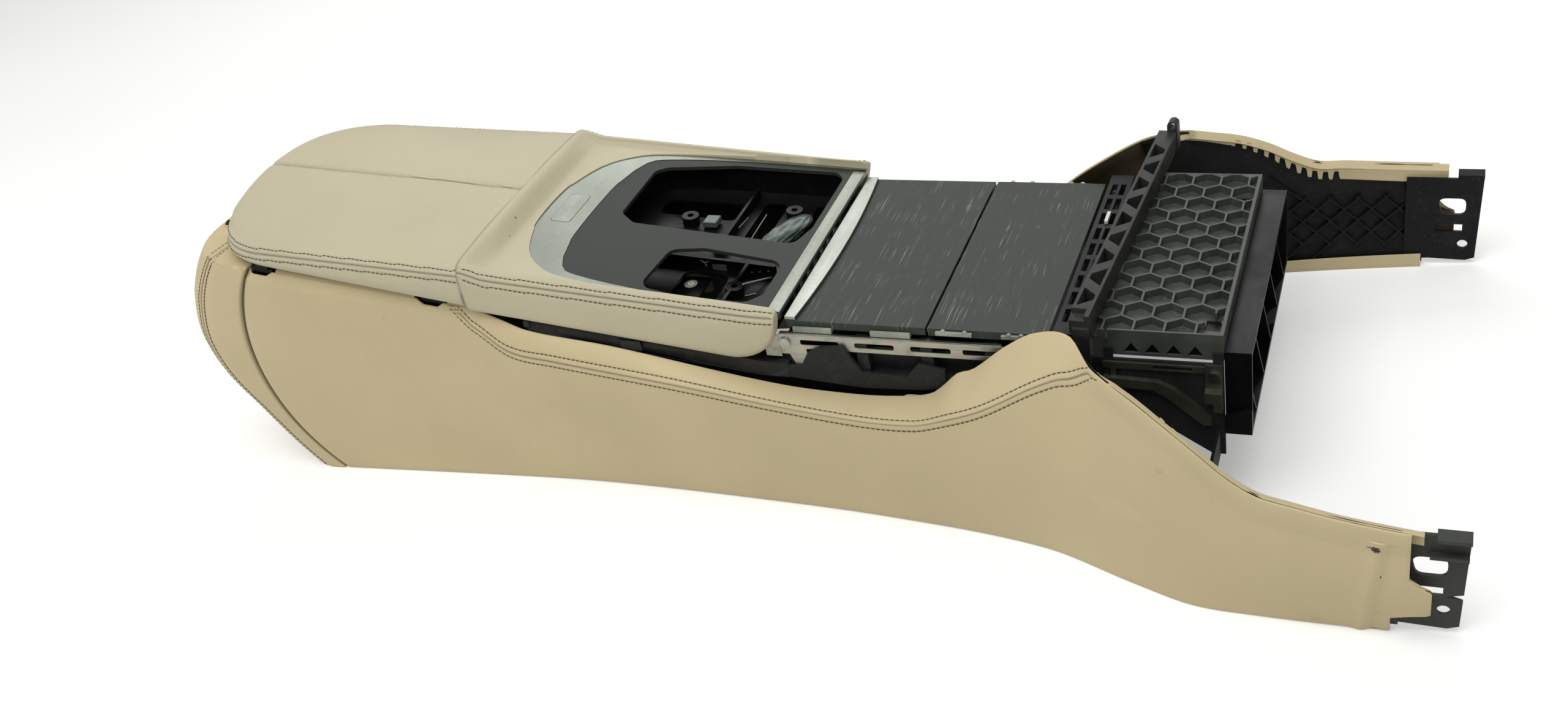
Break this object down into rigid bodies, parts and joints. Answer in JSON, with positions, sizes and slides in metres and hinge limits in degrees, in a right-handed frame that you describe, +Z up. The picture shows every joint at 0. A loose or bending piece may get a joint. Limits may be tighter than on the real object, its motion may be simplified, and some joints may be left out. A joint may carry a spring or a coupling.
{
  "type": "car centre console",
  "caption": "Centre console with padded armrest lids, sliding slat cover, cup tray, ribbed front cover and long leather-covered side panels with front arms.",
  "frame": {"origin": "on the floor plane, at the middle of the console's overall length and width", "axes": "+X to the front of the car, +Y to its left, +Z up, square to the floor plane on which the console's lower edges rest"},
  "size_m": [1.1939, 0.5114, 0.2897],
  "materials": {
    "leather_beige": "matte grained",
    "leather_top": "matte grained, padded",
    "black_plastic": "moulded, fine grain",
    "plate_plastic": "dark grey, fine texture",
    "slat_veneer": "dark open-pore grain",
    "satin_metal": "satin",
    "bright_metal": "polished edge",
    "zinc_steel": "zinc plated",
    "grey_plastic": "smooth",
    "white_plastic": "smooth",
    "steel_pin": "bright",
    "felt": "flocked"
  },
  "bodies": {
    "console": {"side_panel_right": "leather_beige", "side_panel_left": "leather_beige", "side_carrier_right": "black_plastic", "side_carrier_left": "black_plastic", "rear_panel": "leather_beige", "carrier_frame": "black_plastic", "rail_beam_right": "black_plastic", "rail_beam_left": "black_plastic", "cover_arm_right": "black_plastic", "cover_arm_left": "black_plastic", "storage_bin": "black_plastic", "bin_mat": "felt", "hinge_pins_right": "steel_pin", "hinge_pins_left": "steel_pin", "latch_housing": "black_plastic", "pad_frame": "leather_top", "trim_ring": "satin_metal", "front_bar": "satin_metal", "shift_plate": "plate_plastic", "plate_carrier": "black_plastic", "guide_rail_right": "zinc_steel", "guide_rail_left": "zinc_steel", "runner_strip_right": "zinc_steel", "runner_strip_left": "zinc_steel", "front_rail_right": "zinc_steel", "front_rail_left": "zinc_steel", "clamp_bracket_right": "zinc_steel", "clamp_bracket_left": "zinc_steel", "cup_tray": "black_plastic", "honeycomb_cover": "black_plastic", "cross_brace": "black_plastic", "brace_leg": "black_plastic", "clip_strip": "black_plastic", "spring_clip": "white_plastic", "front_housing": "black_plastic", "rail_screws": "zinc_steel", "clamp_screws": "zinc_steel"},
    "lid_right": {"armrest_pad_right": "leather_top", "lid_pan_right": "black_plastic"},
    "lid_left": {"armrest_pad_left": "leather_top", "lid_pan_left": "black_plastic"},
    "rear_slat_slide": {"rear_slat": "slat_veneer", "handle_strip": "bright_metal", "rear_sliders": "grey_plastic", "fold_hinge": "steel_pin"},
    "front_slat_fold": {"front_slat": "slat_veneer", "front_sliders": "grey_plastic"},
    "button": {"release_button": "satin_metal"}
  },
  "joints": [
    {"name": "lid_right_hinge", "type": "hinge", "parent": "console", "child": "lid_right", "pos_m": [-0.3736, -0.115, 0.21864], "axis": [0.9813, 0, -0.1925], "range_deg": [0, 60]},
    {"name": "lid_left_hinge", "type": "hinge", "parent": "console", "child": "lid_left", "pos_m": [-0.3736, 0.115, 0.21864], "axis": [-0.9813, 0, 0.1925], "range_deg": [0, 60]},
    {"name": "cover_slide", "type": "slide", "parent": "console", "child": "rear_slat_slide", "axis": [0.9979, 0, -0.0645], "range_m": [0, 0.12]},
    {"name": "cover_fold", "type": "hinge", "parent": "rear_slat_slide", "child": "front_slat_fold", "pos_m": [0.19096, 0, 0.16681], "axis": [0, 1, 0], "range_deg": [0, 32]},
    {"name": "button_press", "type": "slide", "parent": "console", "child": "button", "axis": [-0.153, 0, -0.9882], "range_m": [0, 0.003], "stiffness_N_per_m": 800, "springref_m": -0.0005}
  ],
  "couplings": [
    {"joint": "cover_fold", "follows": "cover_slide", "rad_per_m": 4.6542}
  ]
}
